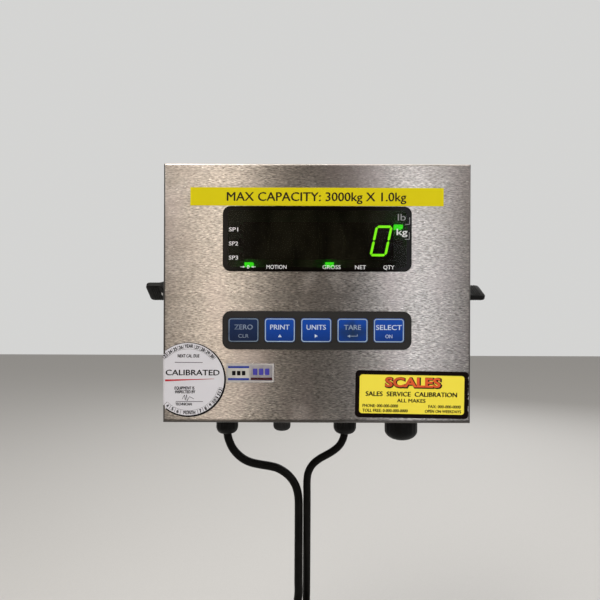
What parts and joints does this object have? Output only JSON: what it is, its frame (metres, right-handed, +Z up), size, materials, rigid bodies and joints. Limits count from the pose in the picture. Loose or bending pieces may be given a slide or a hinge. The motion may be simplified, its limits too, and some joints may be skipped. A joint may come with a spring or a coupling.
{
  "type": "wall-mounted weight indicator for a pallet scale",
  "caption": "Stainless weight indicator with a digital display and membrane keys, tilting in a wall yoke with wing knobs, with cable glands and coiled leads.",
  "frame": {"origin": "centre of the yoke's wall plate, on its back face", "axes": "+Z up, -Y out of the wall towards the viewer and the way the display faces, +X to the viewer's right"},
  "size_m": [0.244, 0.1192, 0.465],
  "materials": {
    "brushed_stainless": "brushed along the width, satin",
    "housing_stainless": "fine brushed, satin",
    "yoke_stainless": "fine brushed, satin",
    "bright_steel": "turned, bright",
    "ground_brass": "plain",
    "knob_plastic": "moulded, fine grain",
    "gland_plastic": "moulded nylon, satin",
    "black_rubber": "plain",
    "window_film": "smoked, glossy, white print",
    "digit_black": "plain",
    "lit_segment": "lit",
    "lit_lamp": "lit",
    "unlit_segment": "unlit",
    "strip_charcoal": "polyester film, fine grain",
    "key_blue": "printed polyester, satin",
    "circuit_board": "solder mask",
    "chip_black": "moulded",
    "capacitor_sleeve": "shrink sleeve",
    "terminal_green": "moulded",
    "fuse_white": "moulded",
    "transformer_iron": "varnished laminations",
    "flat_cable": "ribbed",
    "flex_tail": "film",
    "tape_yellow": "laminated label tape",
    "sticker_white": "vinyl, satin",
    "badge_silver": "printed, satin",
    "label_yellow": "printed vinyl, satin",
    "cable_jacket": "extruded jacket, satin",
    "plug_rubber": "moulded",
    "connector_nickel": "nickel plated, knurled",
    "tie_nylon": "nylon"
  },
  "bodies": {
    "yoke": {"yoke_bracket": "yoke_stainless", "power_cord_lower": "cable_jacket", "power_cord_coil": "cable_jacket", "power_plug": "plug_rubber", "cell_cable_lower": "cable_jacket", "cell_cable_coil": "cable_jacket", "cell_connector": "connector_nickel", "coil_ties": "tie_nylon"},
    "head": {"front_panel": "brushed_stainless", "rear_housing": "housing_stainless", "pivot_bushes": "bright_steel", "panel_screws": "bright_steel", "display_studs": "bright_steel", "display_nuts": "bright_steel", "board_standoffs": "bright_steel", "board_screws": "bright_steel", "keypad_domes": "bright_steel", "ground_stud": "ground_brass", "power_gland": "gland_plastic", "cell_gland": "gland_plastic", "blind_plug": "gland_plastic", "blank_gland": "gland_plastic", "gland_lock_nuts": "gland_plastic", "friction_washers": "black_rubber", "panel_gasket": "black_rubber", "gland_seals": "black_rubber", "display_window": "window_film", "digit_blocks": "digit_black", "digit_segments_lit": "lit_segment", "annunciators_lit": "lit_lamp", "digit_segments_unlit": "unlit_segment", "annunciators_unlit": "unlit_segment", "keypad_overlay": "strip_charcoal", "keypad_circuit": "strip_charcoal", "main_board": "circuit_board", "display_board": "circuit_board", "board_chips": "chip_black", "board_capacitors": "capacitor_sleeve", "cell_terminal": "terminal_green", "mains_terminal": "terminal_green", "fuse_holder": "fuse_white", "transformer": "transformer_iron", "ribbon_cable": "flat_cable", "keypad_tail": "flex_tail", "capacity_tape": "tape_yellow", "calibration_sticker": "sticker_white", "maker_badge": "badge_silver", "dealer_label": "label_yellow", "power_cord_upper": "cable_jacket", "cell_cable_upper": "cable_jacket", "inner_leads": "cable_jacket"},
    "knob_left": {"knob_left_wing": "knob_plastic", "knob_left_stud": "bright_steel"},
    "knob_right": {"knob_right_wing": "knob_plastic", "knob_right_stud": "bright_steel"},
    "key_zero": {"key_zero": "key_blue"},
    "key_print": {"key_print": "key_blue"},
    "key_units": {"key_units": "key_blue"},
    "key_tare": {"key_tare": "key_blue"},
    "key_select": {"key_select": "key_blue"}
  },
  "joints": [
    {"name": "head_tilt", "type": "hinge", "parent": "yoke", "child": "head", "pos_m": [0, -0.078, 0], "axis": [1, 0, 0], "range_deg": [-25, 25]},
    {"name": "knob_left_turn", "type": "hinge", "parent": "head", "child": "knob_left", "pos_m": [-0.11, -0.078, 0], "axis": [-1, 0, 0], "range_deg": [0, 180]},
    {"name": "knob_right_turn", "type": "hinge", "parent": "head", "child": "knob_right", "pos_m": [0.11, -0.078, 0], "axis": [1, 0, 0], "range_deg": [0, 180]},
    {"name": "key_zero_press", "type": "slide", "parent": "head", "child": "key_zero", "axis": [0, 1, 0], "range_m": [0, 0.00035], "stiffness_N_per_m": 5000},
    {"name": "key_print_press", "type": "slide", "parent": "head", "child": "key_print", "axis": [0, 1, 0], "range_m": [0, 0.00035], "stiffness_N_per_m": 5000},
    {"name": "key_units_press", "type": "slide", "parent": "head", "child": "key_units", "axis": [0, 1, 0], "range_m": [0, 0.00035], "stiffness_N_per_m": 5000},
    {"name": "key_tare_press", "type": "slide", "parent": "head", "child": "key_tare", "axis": [0, 1, 0], "range_m": [0, 0.00035], "stiffness_N_per_m": 5000},
    {"name": "key_select_press", "type": "slide", "parent": "head", "child": "key_select", "axis": [0, 1, 0], "range_m": [0, 0.00035], "stiffness_N_per_m": 5000}
  ]
}
